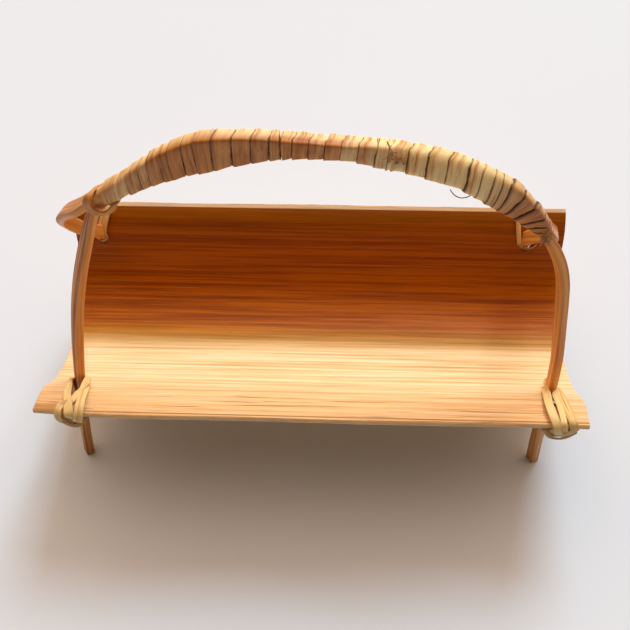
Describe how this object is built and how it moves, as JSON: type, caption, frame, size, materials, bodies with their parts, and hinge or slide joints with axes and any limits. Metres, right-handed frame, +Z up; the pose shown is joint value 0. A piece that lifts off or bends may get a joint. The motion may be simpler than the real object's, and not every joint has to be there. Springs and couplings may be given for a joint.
{
  "type": "serving tray",
  "caption": "Trough-shaped serving tray of split bamboo on bent-strip legs that rise into an arched, cane-wound carrying handle.",
  "frame": {"origin": "on the floor, under the middle of the tray", "axes": "+X along the trough to the viewer's right, +Y from the wide front lip to the steep back wall, +Z up"},
  "size_m": [0.3, 0.1437, 0.2346],
  "materials": {
    "tray_sheet": "satin",
    "hoop_strip": "satin",
    "grip_cane": "matt",
    "lashing_cane": "matt"
  },
  "bodies": {
    "root": {"tray": "tray_sheet", "front_hoop": "hoop_strip", "back_hoop": "hoop_strip", "grip_end_ring": "grip_cane", "grip_wrap_left": "grip_cane", "grip_wrap_middle": "grip_cane", "grip_wrap_right": "grip_cane", "front_left_lashing": "lashing_cane", "front_right_lashing": "lashing_cane", "back_left_lashing": "lashing_cane", "back_right_lashing": "lashing_cane"}
  },
  "joints": []
}
